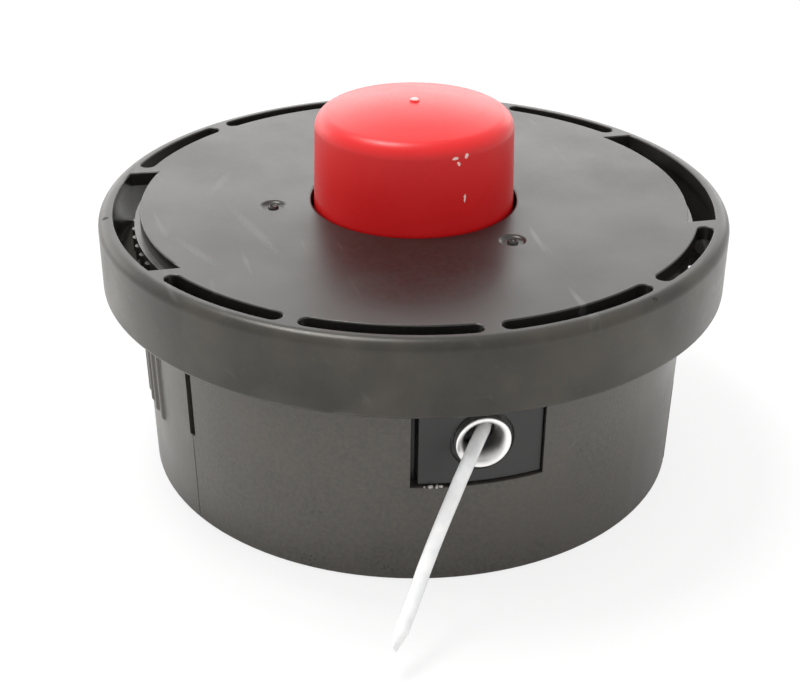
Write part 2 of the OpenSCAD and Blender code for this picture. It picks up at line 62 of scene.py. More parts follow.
# %% [markdown]
# ## The camera
# The photograph was taken from a little to the left of the front eyelet, from about 27 degrees
# above. Its place and focal length were solved from the ellipses of the cover and the base, so
# the camera stands at that very point, and its three turns are those that the ellipses gave.

# %% Place the camera
CAMERA_PLACE = Vector((-59.63, -248.37, 156.13)) * MM
CAMERA_SIDE = Vector((0.97508, -0.22179, 0.0051))
CAMERA_UP = Vector((0.10132, 0.46566, 0.87915))
FOCAL_PIXELS = 1490.6
PHOTO_WIDTH = 800


def add_camera():
    data = bpy.data.cameras.new("photo_camera")
    data.sensor_width = 36
    data.lens = data.sensor_width * FOCAL_PIXELS / PHOTO_WIDTH
    camera = bpy.data.objects.new("photo_camera", data)
    scene.collection.objects.link(camera)
    side = CAMERA_SIDE.normalized()
    back = side.cross(CAMERA_UP).normalized()
    up = back.cross(side)
    turn = Matrix((side, up, back)).transposed()
    camera.matrix_world = Matrix.Translation(CAMERA_PLACE) @ turn.to_4x4()
    scene.camera = camera
    return camera


camera = add_camera()
print("lens", round(camera.data.lens, 1), "mm, at", [round(c, 3) for c in camera.location])

# %% [markdown]
# ## The free end of the line
# The line is a 2.4 mm nylon monofilament. It comes out of the front eyelet, bends down under its
# own set and ends in a tip that cutters have pinched off. A curve with a round bevel makes the
# even tube, and it is turned into a mesh so that its tip can be squeezed the way cutters leave it.

# %% Lay the line along its route
LINE_D = 2.4 * MM
LINE_ROUTE = [
    (1.6, -45.7, 27.9), (1.2, -46.5, 27.9), (0.8, -47.5, 27.9), (-0.2, -49.1, 27.7), (-1.2, -50.6, 27.3),
    (-2.1, -51.9, 26.8), (-3, -53.1, 26.1), (-4, -54.3, 25.2), (-5.2, -55.6, 23.9), (-6.6, -57.1, 22.1),
    (-8.3, -58.8, 19.9), (-10, -60.5, 17.6), (-11.6, -62.2, 15.4), (-13.2, -64, 13.2), (-14.7, -65.9, 11.1),
    (-16.3, -67.8, 9), (-18, -69.8, 6.9), (-19.9, -71.8, 4.9),
]
route = [Vector(point) * MM for point in LINE_ROUTE]


def make_active(piece):
    bpy.ops.object.select_all(action="DESELECT")
    piece.select_set(True)
    bpy.context.view_layer.objects.active = piece


def sweep(name, points, radius, corners):
    curve = bpy.data.curves.new(name, "CURVE")
    curve.dimensions = "3D"
    curve.bevel_depth = radius
    curve.bevel_resolution = corners
    curve.use_fill_caps = True
    spline = curve.splines.new("POLY")
    spline.points.add(len(points) - 1)
    for knot, point in zip(spline.points, points):
        knot.co = (*point, 1)
    piece = bpy.data.objects.new(name, curve)
    scene.collection.objects.link(piece)
    make_active(piece)
    bpy.ops.object.convert(target="MESH")
    bpy.ops.object.shade_smooth_by_angle(angle=math.radians(50))
    return bpy.context.object


line = sweep("free_line", route, LINE_D / 2, 6)
line_length = sum((b - a).length for a, b in zip(route, route[1:]))
print("free line:", len(route), "points,", round(line_length / MM, 1), "mm")

# %% [markdown]
# ### The pinched tip
# Side cutters squeeze nylon before they part it, so the tip is thinner across the jaws and a
# little wider along them, and its end is slanted. The last stretch of the tube is scaled across
# the cut by code, because each ring of the tube has to shrink by a different amount.

# %% Pinch the tip
PINCH_LENGTH = 3.0 * MM
PINCH_KEEP = 0.45
tip = route[-1]
run = (route[-1] - route[-2]).normalized()
across = run.cross(Vector((0, 0, 1))).normalized()


def pinch_tip(piece):
    for vertex in piece.data.vertices:
        before_tip = (tip - vertex.co).dot(run)
        if before_tip < PINCH_LENGTH:
            share = 1 - max(0, before_tip) / PINCH_LENGTH
            offset = (vertex.co - tip).dot(across)
            vertex.co -= across * offset * (1 - PINCH_KEEP) * share
            if before_tip < 0.1 * MM:
                vertex.co -= run * (offset + LINE_D / 2) * 0.5


make_active(line)
bpy.ops.object.mode_set(mode="EDIT")
bpy.ops.mesh.select_all(action="SELECT")
bpy.ops.mesh.normals_make_consistent(inside=False)
bpy.ops.object.mode_set(mode="OBJECT")
pinch_tip(line)
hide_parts("line_end")
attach(line, "head")

# %% [markdown]
# ## The studio
# The head stands on a wide white table in a white room, and a long low window stands behind it.
# Black plastic shows hardly anything but reflections, so the room matters more than the lamps:
# the flat top mirrors the window behind it, the sides mirror the table, and only a small lamp
# overhead, a little to the left, draws the highlight on the rim and on the knob's shoulder.
# To the camera and in reflections the table is plain white, but it keeps the head's shadow.

# %% Set the table, the room and the lamps
scene.view_settings.view_transform = "Standard"
TABLE_WHITE = (0.82, 0.82, 0.81, 1)


def link(tree, start, end):
    tree.links.new(start, end)


def add_table():
    bpy.ops.object.select_all(action="DESELECT")
    bpy.ops.mesh.primitive_plane_add(size=6, location=(0, 0, -0.0001))
    table = bpy.context.object
    table.name = "studio_table"
    material = bpy.data.materials.new("white table")
    material.use_nodes = True
    tree = material.node_tree
    shader = tree.nodes["Principled BSDF"]
    shader.inputs["Base Color"].default_value = TABLE_WHITE
    shader.inputs["Roughness"].default_value = 0.7
    shader.inputs["Specular IOR Level"].default_value = 0.1
    glow = tree.nodes.new("ShaderNodeEmission")
    mix = tree.nodes.new("ShaderNodeMixShader")
    path = tree.nodes.new("ShaderNodeLightPath")
    seen = tree.nodes.new("ShaderNodeMath")
    seen.operation = "MULTIPLY"
    seen.inputs[1].default_value = 0.8
    link(tree, path.outputs["Is Camera Ray"], seen.inputs[0])
    link(tree, seen.outputs[0], mix.inputs[0])
    link(tree, shader.outputs[0], mix.inputs[1])
    link(tree, glow.outputs[0], mix.inputs[2])
    link(tree, mix.outputs[0], tree.nodes["Material Output"].inputs["Surface"])
    table.data.materials.append(material)


def add_room():
    world = bpy.data.worlds.new("white room")
    scene.world = world
    world.use_nodes = True
    tree = world.node_tree
    background = tree.nodes["Background"]
    background.inputs["Color"].default_value = (1, 1, 1, 1)
    place = tree.nodes.new("ShaderNodeTexCoord")
    parts = tree.nodes.new("ShaderNodeSeparateXYZ")
    depth = tree.nodes.new("ShaderNodeMapRange")
    depth.inputs["From Min"].default_value = -0.9
    depth.inputs["From Max"].default_value = 0.5
    depth.inputs["To Min"].default_value = 0.85
    depth.inputs["To Max"].default_value = 1.05
    path = tree.nodes.new("ShaderNodeLightPath")
    seen = tree.nodes.new("ShaderNodeMath")
    seen.operation = "MAXIMUM"
    link(tree, place.outputs["Generated"], parts.inputs[0])
    link(tree, parts.outputs["Y"], depth.inputs["Value"])
    link(tree, depth.outputs[0], seen.inputs[0])
    link(tree, path.outputs["Is Camera Ray"], seen.inputs[1])
    link(tree, seen.outputs[0], background.inputs["Strength"])


def add_lamp(name, place, width, height, power, aim=(0, 0, 0.03)):
    data = bpy.data.lights.new(name, "AREA")
    data.shape = "RECTANGLE"
    data.size = width
    data.size_y = height
    data.energy = power
    lamp = bpy.data.objects.new(name, data)
    scene.collection.objects.link(lamp)
    lamp.location = place
    lamp.rotation_euler = (Vector(aim) - Vector(place)).to_track_quat("-Z", "Y").to_euler()
    lamp.visible_camera = False
    return lamp


add_table()
add_room()
add_lamp("back_window", (0, 1.3, 0.46), 3.2, 0.8, 14.5, aim=(0, 0, 0.46))
add_lamp("key_lamp", (-0.2, 0.12, 0.8), 0.22, 0.22, 4.0)

# %% [markdown]
# ## A kit for moulded plastic
# Every plastic finish here is the same few layers, so they are made by one function. A slow noise
# shifts the colour and the gloss from place to place, a fine noise is the grain of the mould as a
# bump, and long thin scuffs catch the light. All read Object coordinates, so the grain has its
# real size in metres on every piece.

# %% Node helpers and the plastic recipe
def shade(tree, kind, **values):
    made = tree.nodes.new("ShaderNode" + kind)
    for key, value in values.items():
        name = key.replace("_", " ")
        if name in made.inputs:
            made.inputs[name].default_value = value
        else:
            setattr(made, key, value)
    return made


def new_finish(name):
    material = bpy.data.materials.new(name)
    material.use_nodes = True
    tree = material.node_tree
    place = shade(tree, "TexCoord").outputs["Object"]
    return material, tree, tree.nodes["Principled BSDF"], place


def noise(tree, place, size, detail=3, roughness=0.5, distortion=0):
    made = shade(tree, "TexNoise", Scale=1 / size, Detail=detail, Roughness=roughness, Distortion=distortion)
    link(tree, place, made.inputs["Vector"])
    return made.outputs[0]


def remap(tree, value, low, high, to_low=0.0, to_high=1.0):
    made = shade(tree, "MapRange")
    for socket, number in zip(("From Min", "From Max", "To Min", "To Max"), (low, high, to_low, to_high)):
        made.inputs[socket].default_value = number
    link(tree, value, made.inputs["Value"])
    return made.outputs[0]


def blend(tree, amount, first, second):
    made = shade(tree, "Mix", data_type="RGBA")
    for socket, value in ((made.inputs[0], amount), (made.inputs[6], first), (made.inputs[7], second)):
        if isinstance(value, bpy.types.NodeSocket):
            link(tree, value, socket)
        else:
            socket.default_value = value
    return made.outputs[2]


def reckon(tree, operation, first, second=0.0):
    made = shade(tree, "Math", operation=operation)
    for socket, value in zip(made.inputs, (first, second)):
        if isinstance(value, bpy.types.NodeSocket):
            link(tree, value, socket)
        else:
            socket.default_value = value
    return made.outputs[0]


def bump(tree, shader, height, distance, strength=1.0):
    made = shade(tree, "Bump", Distance=distance, Strength=strength)
    link(tree, height, made.inputs["Height"])
    link(tree, made.outputs[0], shader.inputs["Normal"])
    return made


def grey(value, warmth=0.0):
    return (value * (1 + warmth), value, value * (1 - warmth), 1)


def scuffs(tree, place, size, stretch, turn, low, high):
    """Thin light scratches: a noise drawn out along one direction, cut off near its top."""
    laid = shade(tree, "Mapping")
    laid.inputs["Rotation"].default_value = (0, 0, turn)
    laid.inputs["Scale"].default_value = (1, stretch, 1)
    link(tree, place, laid.inputs["Vector"])
    return remap(tree, noise(tree, laid.outputs[0], size, 2, 0.6, 1.5), low, high)


WARM = (1, 0.965, 0.9, 1)


def plastic(name, dark, light, gloss, grain, depth, specular=0.5, tint=(1, 1, 1, 1), mottle=0.25):
    """A moulded plastic: gloss is its lowest and highest roughness, grain the size of the mould's
    grain, and mottle how far that grain changes the colour."""
    material, tree, shader, place = new_finish(name)
    cloud = remap(tree, noise(tree, place, 0.018, 4, 0.55), 0.35, 0.65)
    speck = remap(tree, noise(tree, place, grain * 1.7, 2, 0.6), 0.3, 0.7)
    colour = blend(tree, reckon(tree, "MULTIPLY", cloud, 0.5), dark, light)
    colour = blend(tree, reckon(tree, "MULTIPLY", speck, mottle), colour, light)
    rough = remap(tree, reckon(tree, "ADD", cloud, reckon(tree, "MULTIPLY", speck, 0.5)), 0, 1.5, *gloss)
    shader.inputs["Specular IOR Level"].default_value = specular
    shader.inputs["Specular Tint"].default_value = tint
    link(tree, rough, shader.inputs["Roughness"])
    link(tree, colour, shader.inputs["Base Color"])
    bump(tree, shader, noise(tree, place, grain, 1), depth)
    return {"material": material, "tree": tree, "shader": shader, "place": place,
            "colour": colour, "rough": rough}


def cover_over(finish, amount, colour, rough=None):
    """Lays another colour, and if given another roughness, over a finish by a mask."""
    tree, shader = finish["tree"], finish["shader"]
    finish["colour"] = blend(tree, amount, finish["colour"], colour)
    link(tree, finish["colour"], shader.inputs["Base Color"])
    if rough is not None:
        mixed = shade(tree, "Mix", data_type="FLOAT")
        link(tree, amount, mixed.inputs[0])
        link(tree, finish["rough"], mixed.inputs[2])
        mixed.inputs[3].default_value = rough
        finish["rough"] = mixed.outputs[0]
        link(tree, finish["rough"], shader.inputs["Roughness"])


def spot(finish, centre, size, edge=0.35, turn=0.0):
    """A ragged spot at a place on the piece, in metres: 1 inside and 0 outside."""
    tree = finish["tree"]
    laid = shade(tree, "Mapping", vector_type="TEXTURE")
    laid.inputs["Location"].default_value = centre
    laid.inputs["Rotation"].default_value = (0, 0, turn)
    laid.inputs["Scale"].default_value = size
    link(tree, finish["place"], laid.inputs["Vector"])
    away = shade(tree, "VectorMath", operation="LENGTH")
    link(tree, laid.outputs[0], away.inputs[0])
    ragged = reckon(tree, "ADD", away.outputs["Value"],
                    remap(tree, noise(tree, finish["place"], 0.0004, 2), 0.3, 0.7, -edge, edge))
    return remap(tree, ragged, 1.1, 0.8)


def wear_finish(piece, finish):
    """Gives a piece its finish in Blender."""
    piece.data.materials.clear()
    piece.data.materials.append(finish["material"])


print("plastic recipe ready")

# %% [markdown]
# ## A kit for the solid pieces
# The exact solids from the frame have knife-sharp edges, and real moulded edges are a little
# round, which is what draws the fine light lines round the slots. So each solid that the eye
# reaches is copied, its loose triangles are welded, its flat faces are made whole again, and the
# edges that a finger would feel get a small bevel. Turned pieces are spun from an outline instead.

# %% Copy, round, spin and join
WELD = 0.002 * MM
SMOOTH_ANGLE = math.radians(38)


def even_shading(piece, angle=SMOOTH_ANGLE):
    """Shades round forms smoothly and keeps large flat faces flat, by weighting normals by face."""
    make_active(piece)
    bpy.ops.object.shade_smooth_by_angle(angle=angle)
    piece.modifiers.new("even", "WEIGHTED_NORMAL").keep_sharp = True
    bpy.ops.object.modifier_apply(modifier="even")
    return piece


def take(node, name):
    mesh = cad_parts[node].data.copy()
    mesh.name = name
    piece = bpy.data.objects.new(name, mesh)
    scene.collection.objects.link(piece)
    make_active(piece)
    bpy.ops.mesh.customdata_custom_splitnormals_clear()
    bpy.ops.object.mode_set(mode="EDIT")
    bpy.ops.mesh.select_all(action="SELECT")
    bpy.ops.mesh.remove_doubles(threshold=WELD)
    bpy.ops.mesh.dissolve_limited(angle_limit=math.radians(0.4))
    bpy.ops.object.mode_set(mode="OBJECT")
    return even_shading(piece)


def round_edges(piece, width, where, steps=2):
    """Bevels the sharp edges whose middle, in millimetres, passes the test."""
    make_active(piece)
    bpy.ops.object.mode_set(mode="EDIT")
    bpy.ops.mesh.select_mode(type="EDGE")
    bpy.ops.mesh.select_all(action="DESELECT")
    shape = bmesh.from_edit_mesh(piece.data)
    chosen = 0
    for edge in shape.edges:
        middle = (edge.verts[0].co + edge.verts[1].co) / 2 / MM
        if len(edge.link_faces) == 2 and edge.calc_face_angle() > SMOOTH_ANGLE and where(middle):
            edge.select = True
            chosen += 1
    bmesh.update_edit_mesh(piece.data)
    if chosen:
        bpy.ops.mesh.bevel(offset=width, segments=steps, affect="EDGES", clamp_overlap=False)
    bpy.ops.object.mode_set(mode="OBJECT")
    even_shading(piece)
    print(piece.name, "edges rounded:", chosen, "faces now:", len(piece.data.polygons))
    return piece


def spin(name, outline, steps=96, closed=True):
    """Turns an outline of (radius, height) points in millimetres round the Z axis."""
    mesh = bpy.data.meshes.new(name)
    points = [(radius * MM, 0, height * MM) for radius, height in outline]
    edges = [(i, i + 1) for i in range(len(points) - 1)]
    if closed:
        edges.append((len(points) - 1, 0))
    mesh.from_pydata(points, edges, [])
    piece = bpy.data.objects.new(name, mesh)
    scene.collection.objects.link(piece)
    make_active(piece)
    bpy.ops.object.mode_set(mode="EDIT")
    bpy.ops.mesh.select_all(action="SELECT")
    bpy.ops.mesh.spin(steps=steps, angle=math.tau, center=(0, 0, 0), axis=(0, 0, 1))
    bpy.ops.mesh.select_all(action="SELECT")
    bpy.ops.mesh.remove_doubles(threshold=WELD)
    bpy.ops.mesh.normals_make_consistent(inside=False)
    bpy.ops.object.mode_set(mode="OBJECT")
    bpy.ops.object.shade_smooth_by_angle(angle=SMOOTH_ANGLE)
    return piece


def settle(piece):
    """Moves a piece's place, turn and scale into its mesh."""
    make_active(piece)
    bpy.ops.object.transform_apply(location=True, rotation=True, scale=True)
    return piece


def join(first, *others):
    make_active(first)
    for other in others:
        other.select_set(True)
    bpy.ops.object.join()
    return first


def arc(cx, cz, radius, start, end, steps=8):
    """Points of an arc in millimetres, angles in degrees."""
    turns = [math.radians(start + (end - start) * i / steps) for i in range(steps + 1)]
    return [(cx + radius * math.cos(t), cz + radius * math.sin(t)) for t in turns]


def reach(point):
    return math.hypot(point.x, point.y)


def size_of(node):
    low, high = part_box(node)
    return low / MM, high / MM


# %% [markdown]
# ## The cover
# The cover is a clip-on cap of black nylon. Its sides are the smoothest plastic on the head, and
# its flat top has been swept by grass, so it carries faint curved scuffs. The edges at its top,
# round the slots and the hole for the knob, get small bevels.

# %% Dress the cover
cover_corner = size_of("cover")[1]
COVER_TOP = cover_corner.z
COVER_R = cover_corner.x


def near_top(point):
    return point.z > COVER_TOP - 0.4


cover = take("cover", "slotted_cover")
round_edges(cover, 0.22 * MM, near_top)
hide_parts("cover")
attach(cover, "head")

# %% [markdown]
# The cover's finish is the common plastic with four things laid over it: long curved scuffs,
# a tan bloom of dust along the outer edge, three pale swipes and two small nicks on the rim.

# %% The cover's finish
cover_black = plastic("cover black", grey(0.008, 0.04), grey(0.018, 0.08), (0.3, 0.42), 0.4 * MM,
                      0.004 * MM, tint=WARM, mottle=0.6)
NICKS = [(-56.1, 1.5, 50.0), (28.2, -49.2, 50.0)]
NICK_R = 0.6
SWIPES = [((-30.9, -9.1, 50.3), -76, 9.8), ((-34, 13.9, 50.3), 66, 4.6), ((-41.6, -16.6, 50.3), -65, 5.6)]


def add_cover_wear(finish):
    tree, place = finish["tree"], finish["place"]
    swept = scuffs(tree, place, 0.006, 0.12, 0.5, 0.66, 0.78)
    crossed = scuffs(tree, place, 0.009, 0.1, -0.9, 0.68, 0.8)
    both = reckon(tree, "MULTIPLY", reckon(tree, "MAXIMUM", swept, crossed), 0.35)
    cover_over(finish, both, grey(0.12), 0.3)
    parts = shade(tree, "SeparateXYZ")
    link(tree, place, parts.inputs[0])
    flat = shade(tree, "CombineXYZ")
    link(tree, parts.outputs["X"], flat.inputs["X"])
    link(tree, parts.outputs["Y"], flat.inputs["Y"])
    out = shade(tree, "VectorMath", operation="LENGTH")
    link(tree, flat.outputs[0], out.inputs[0])
    edge = remap(tree, out.outputs["Value"], (COVER_R - 2.6) * MM, (COVER_R - 0.6) * MM)
    dusty = reckon(tree, "MULTIPLY", edge, remap(tree, noise(tree, place, 0.012, 3), 0.4, 0.7, 0.1, 0.6))
    cover_over(finish, dusty, (0.062, 0.054, 0.042, 1))
    for centre, turn, long in SWIPES:
        swipe = spot(finish, [c * MM for c in centre], [long * MM, 0.9 * MM, 1 * MM], 0.7, math.radians(turn))
        cover_over(finish, reckon(tree, "MULTIPLY", swipe, 0.16), grey(0.14), 0.34)
    for nick in NICKS:
        mask = spot(finish, [c * MM for c in nick], [NICK_R * MM] * 3)
        cover_over(finish, mask, grey(0.004), 0.7)


add_cover_wear(cover_black)
wear_finish(cover, cover_black)

# %% [markdown]
# ### Gate scars
# Plastic is shot into the mould at three gates on the cover's top. Each gate leaves a dimple, and
# in it the ragged stump where the sprue broke off. One stump is spun and roughened, then copied.

# %% Three broken gates
GATE_R = 26
GATE_TURNS = (58, 178, 298)
GATE_OUTLINE = [(0.0, -0.42), (0.25, -0.4), (0.42, 0.02), (0.62, 0.1), (0.82, -0.06), (1.0, -0.35),
                (1.0, -0.6), (0.0, -0.6)]


def gate_scar(name, turn, seed):
    scar = spin(name, [(r, COVER_TOP + z) for r, z in GATE_OUTLINE], steps=24)
    chance = random.Random(seed)
    for vertex in scar.data.vertices:
        if vertex.co.z > (COVER_TOP - 0.3) * MM:
            angle = math.atan2(vertex.co.y, vertex.co.x)
            vertex.co.z += (0.09 * math.sin(3 * angle + seed) + chance.uniform(-0.05, 0.05)) * MM
    scar.location = (GATE_R * MM * math.cos(turn), GATE_R * MM * math.sin(turn), -0.08 * MM)
    return settle(scar)


for i, turn in enumerate(GATE_TURNS):
    scar = gate_scar(f"gate_scar_{i + 1}", math.radians(turn), i)
    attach(scar, "head")
    wear_finish(scar, cover_black)

# %% [markdown]
# ## The housing
# The drum is moulded in the same nylon, but its mould was spark eroded, so it is duller and
# grainier than the cover. Its eyelet notches and latch slits have crisp but not sharp edges, and
# below each slit runs the fine line that the mould's slide leaves.

# %% Dress the housing
WALL_R = 50
SLIT_FOOT = 18.0
SLIT_TURN = 27
MOULD_LINE = 0.07


def outer_wall(point):
    return reach(point) > WALL_R - 0.2 and 10 < point.z < 30


def mould_line(name, turn):
    lean = math.atan(1 / 47.5)
    bpy.ops.object.select_all(action="DESELECT")
    bpy.ops.mesh.primitive_cylinder_add(vertices=8, radius=MOULD_LINE * MM, depth=(SLIT_FOOT - 1) * MM)
    strip = bpy.context.object
    strip.name = name
    strip.rotation_euler = (0, lean, turn)
    middle = (WALL_R + 0.09 + SLIT_FOOT / 2 / 47.5) * MM
    strip.location = (middle * math.cos(turn), middle * math.sin(turn), (SLIT_FOOT + 1) / 2 * MM)
    return settle(strip)


housing = take("housing", "drum_housing")
round_edges(housing, 0.15 * MM, outer_wall)
lines = [mould_line(f"mould_line_{i}", math.radians(side + turn))
         for i, (side, turn) in enumerate((s, t) for s in (0, 180) for t in (-SLIT_TURN, SLIT_TURN))]
join(housing, *lines)
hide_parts("housing")
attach(housing, "head")

# %% The housing's finish
housing_black = plastic("housing black", grey(0.028, 0.08), grey(0.062, 0.12), (0.26, 0.4), 0.42 * MM,
                        0.03 * MM, specular=0.7, tint=WARM, mottle=0.75)


def add_housing_wear(finish):
    tree, place = finish["tree"], finish["place"]
    rubbed = scuffs(tree, place, 0.004, 0.2, 0.0, 0.7, 0.85)
    cover_over(finish, reckon(tree, "MULTIPLY", rubbed, 0.3), grey(0.11, 0.05), 0.42)


add_housing_wear(housing_black)
wear_finish(housing, housing_black)

# %% [markdown]
# ## The eyelet holders
# A separate insert fills each notch. It is moulded in a smoother and cooler black than the drum,
# so it reads as its own piece beside the wide gap on its left.

# %% Dress the holders
holder_black = plastic("holder black", grey(0.018, 0.0), grey(0.03, 0.0), (0.34, 0.46), 0.25 * MM, 0.012 * MM)


def everywhere(point):
    return True


for side in ("front", "rear"):
    holder = take(f"eyelet_holder_{side}", f"holder_{side}")
    round_edges(holder, 0.18 * MM, everywhere)
    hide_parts(f"eyelet_holder_{side}")
    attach(holder, "head")
    wear_finish(holder, holder_black)

# %% [markdown]
# ## The eyelets
# Each eyelet is a turned, polished trumpet of light metal, so that the spinning line can't saw
# into the plastic. Its mouth flares by three millimetres. It is spun from a fine outline and then
# turned to look out along its own axis.

# %% Spin the two eyelets
eyelet_low, eyelet_high = size_of("eyelet_front")
EYELET_Z = (eyelet_low.z + eyelet_high.z) / 2
EYELET_OUT = -eyelet_low.y
EYELET_IN = -eyelet_high.y
EYELET_BORE = 3.0
EYELET_MOUTH = 4.3
EYELET_RIM = eyelet_high.x
EYELET_BARREL = 4.0
EYELET_FLARE = 3.2
EYELET_RIM_T = 1.6


def eyelet(name, node, turn):
    flare = [math.radians(a) for a in range(0, 91, 5)]
    mouth = [(EYELET_MOUTH - (EYELET_MOUTH - EYELET_BORE) * math.cos(a),
              EYELET_OUT - EYELET_FLARE * (1 - math.sin(a))) for a in flare]
    lip = arc(EYELET_RIM - 0.25, EYELET_OUT - 0.25, 0.25, 90, 0, 5)
    seat = EYELET_OUT - EYELET_RIM_T
    back = [(EYELET_RIM, seat + 0.1), (EYELET_RIM - 0.1, seat), (EYELET_BARREL, seat),
            (EYELET_BARREL, EYELET_IN + 0.1), (EYELET_BARREL - 0.1, EYELET_IN),
            (EYELET_BORE + 0.6, EYELET_IN), (EYELET_BORE + 0.15, EYELET_IN + 0.25),
            (EYELET_BORE, EYELET_IN + 0.6)]
    piece = spin(name, mouth + lip + back, steps=72)
    piece.rotation_euler = (math.pi / 2, 0, 0)
    settle(piece)
    piece.location = (0, 0, EYELET_Z * MM)
    piece.rotation_euler = (0, 0, turn)
    settle(piece)
    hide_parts(node)
    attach(piece, "head")
    return piece


eyelets = [eyelet("trumpet_front", "eyelet_front", 0), eyelet("trumpet_rear", "eyelet_rear", math.pi)]
print("eyelet from", round(EYELET_IN, 2), "to", round(EYELET_OUT, 2), "mm out,", round(EYELET_Z, 2), "mm up")

# %% [markdown]
# Metal finishes share a recipe too: a bright metal, a slow change of gloss, and fine scratches
# as a bump.

# %% The metal recipe
def metal(name, colour, stain, gloss, scratch, depth):
    material, tree, shader, place = new_finish(name)
    cloud = remap(tree, noise(tree, place, 0.004, 4, 0.6), 0.35, 0.7)
    link(tree, blend(tree, cloud, colour, stain), shader.inputs["Base Color"])
    shader.inputs["Metallic"].default_value = 1.0
    link(tree, remap(tree, cloud, 0, 1, *gloss), shader.inputs["Roughness"])
    bump(tree, shader, scuffs(tree, place, scratch, 0.15, 0.4, 0.4, 0.8), depth)
    return {"material": material, "tree": tree, "shader": shader, "place": place}


eyelet_metal = metal("eyelet metal", grey(0.96, 0.01), grey(0.87, 0.02), (0.3, 0.42), 0.6 * MM, 0.002 * MM)
spring_steel = metal("spring steel", grey(0.41, 0.02), grey(0.28, 0.07), (0.28, 0.45), 0.8 * MM, 0.006 * MM)
zinc_steel = metal("zinc steel", grey(0.63, -0.02), grey(0.5, 0.02), (0.3, 0.5), 1 * MM, 0.006 * MM)
nut_steel = metal("nut steel", grey(0.52), grey(0.36, 0.07), (0.3, 0.5), 1.2 * MM, 0.008 * MM)
for piece in eyelets:
    wear_finish(piece, eyelet_metal)

# %% [markdown]
# ## The bump knob
# The knob is a red cap whose crown is knocked on the ground to feed line. It is one turned piece:
# a slightly tapered side, a rounded shoulder, a low crown and the nub of its gate at the centre.
# Spinning a finer outline than the solid's keeps the highlight on the shoulder clean.

# %% Spin the knob
knob_low, knob_high = size_of("bump_knob")
KNOB_R = knob_high.x
KNOB_TAPER = 0.35
KNOB_EDGE_R = 3.0
KNOB_CROWN = 1.7
KNOB_WALL = 2.3
NUB_H = 0.5
KNOB_TOP = knob_high.z - NUB_H
KNOB_SHOULDER = KNOB_TOP - KNOB_CROWN - KNOB_EDGE_R


def knob_outline():
    top_r = KNOB_R - KNOB_TAPER
    crown_r = top_r - KNOB_EDGE_R
    ball = (crown_r ** 2 + KNOB_CROWN ** 2) / (2 * KNOB_CROWN)
    half = math.degrees(math.asin(crown_r / ball))
    seat = knob_low.z
    inside = KNOB_R - KNOB_WALL
    shoulder = arc(top_r - KNOB_EDGE_R, KNOB_SHOULDER, KNOB_EDGE_R, 0, 90 - half, 14)
    crown = arc(0, KNOB_TOP - ball, ball, 90 - half * 0.9, 90 - half * 0.1, 12)
    nub = [(1.0, KNOB_TOP - 0.03), (0.85, KNOB_TOP + 0.12), (0.7, KNOB_TOP + 0.38), (0.5, KNOB_TOP + NUB_H),
           (0.25, KNOB_TOP + NUB_H - 0.08), (0, KNOB_TOP + NUB_H - 0.1)]
    core = inside - 2.9
    roof = KNOB_TOP - KNOB_WALL
    ledge = KNOB_SHOULDER - 3.9
    groove = inside + 0.6
    under = [(0, roof), (core, roof - 1), (core, ledge), (inside, ledge), (inside, seat + 7.8),
             (groove, seat + 7.8), (groove, seat + 6.2), (inside, seat + 6.2), (inside, seat)]
    return [(KNOB_R, seat), (KNOB_R, COVER_TOP)] + shoulder + crown + nub + under


knob = spin("red_knob", knob_outline(), steps=128)
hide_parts("bump_knob")
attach(knob, "reel")
print("knob: radius", round(KNOB_R, 2), "mm, shoulder at", round(KNOB_SHOULDER, 1), "mm")

# %% [markdown]
# The red is a dense, slightly cloudy polymer. Four pale chips sit on its side where it has hit
# stones, and a pale spot on the gate nub is a painted highlight.

# %% The knob's finish
knob_red = plastic("knob red", (0.62, 0.006, 0.008, 1), (0.70, 0.012, 0.013, 1), (0.30, 0.42), 0.5 * MM,
                   0.005 * MM, specular=0.4)
KNOB_CHIPS = [((3.07, -17.84, 63.7), (0.5, 0.5, 0.25)), ((5.14, -17.35, 63.8), (0.35, 0.5, 0.45)),
              ((3.66, -17.73, 62.7), (0.3, 0.5, 0.4)), ((4.93, -17.57, 56.3), (0.22, 0.5, 0.75))]


def add_chips_and_nub_highlight(finish):
    for centre, size in KNOB_CHIPS:
        mask = spot(finish, [c * MM for c in centre], [s * MM for s in size], 0.45)
        cover_over(finish, mask, (0.86, 0.62, 0.58, 1), 0.6)
    # A painted highlight: a pale spot over the gate nub at the top of the crown.
    nub = spot(finish, (0, 0, (KNOB_TOP + NUB_H) * MM), (1.0 * MM, 1.0 * MM, 0.35 * MM), 0.2)
    cover_over(finish, nub, (0.85, 0.5, 0.48, 1), 0.5)


add_chips_and_nub_highlight(knob_red)
wear_finish(knob, knob_red)

# %% [markdown]
# ## The spool and its windings
# Inside, the knob drives a twin-chamber spool. The line lies on it in even turns, so each winding
# is a helix of the real 2.4 mm line round a plain core, as deep as the solid that it stands for.

# %% Dress the spool and wind the line
spool = take("spool", "twin_spool")
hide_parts("spool")
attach(spool, "reel")
spool_black = plastic("spool black", grey(0.012), grey(0.024), (0.35, 0.5), 0.3 * MM, 0.01 * MM)
wear_finish(spool, spool_black)


def helix(radius, low, high, turns, steps=48):
    count = int(turns * steps)
    return [Vector((radius * math.cos(math.tau * i / steps), radius * math.sin(math.tau * i / steps),
                    low + (high - low) * i / count)) for i in range(count + 1)]


def winding(name, node, turns):
    low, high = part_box(node)
    half = LINE_D / 2
    wound = sweep(name, helix(high.x - half, low.z + half, high.z - half, turns), half, 3)
    core = take(node, name + "_core")
    for vertex in core.data.vertices:
        outer = math.hypot(vertex.co.x, vertex.co.y)
        if outer > high.x - LINE_D * 0.6:
            vertex.co.xy *= (high.x - LINE_D * 0.6) / outer
    join(wound, core)
    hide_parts(node)
    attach(wound, "reel")
    return wound


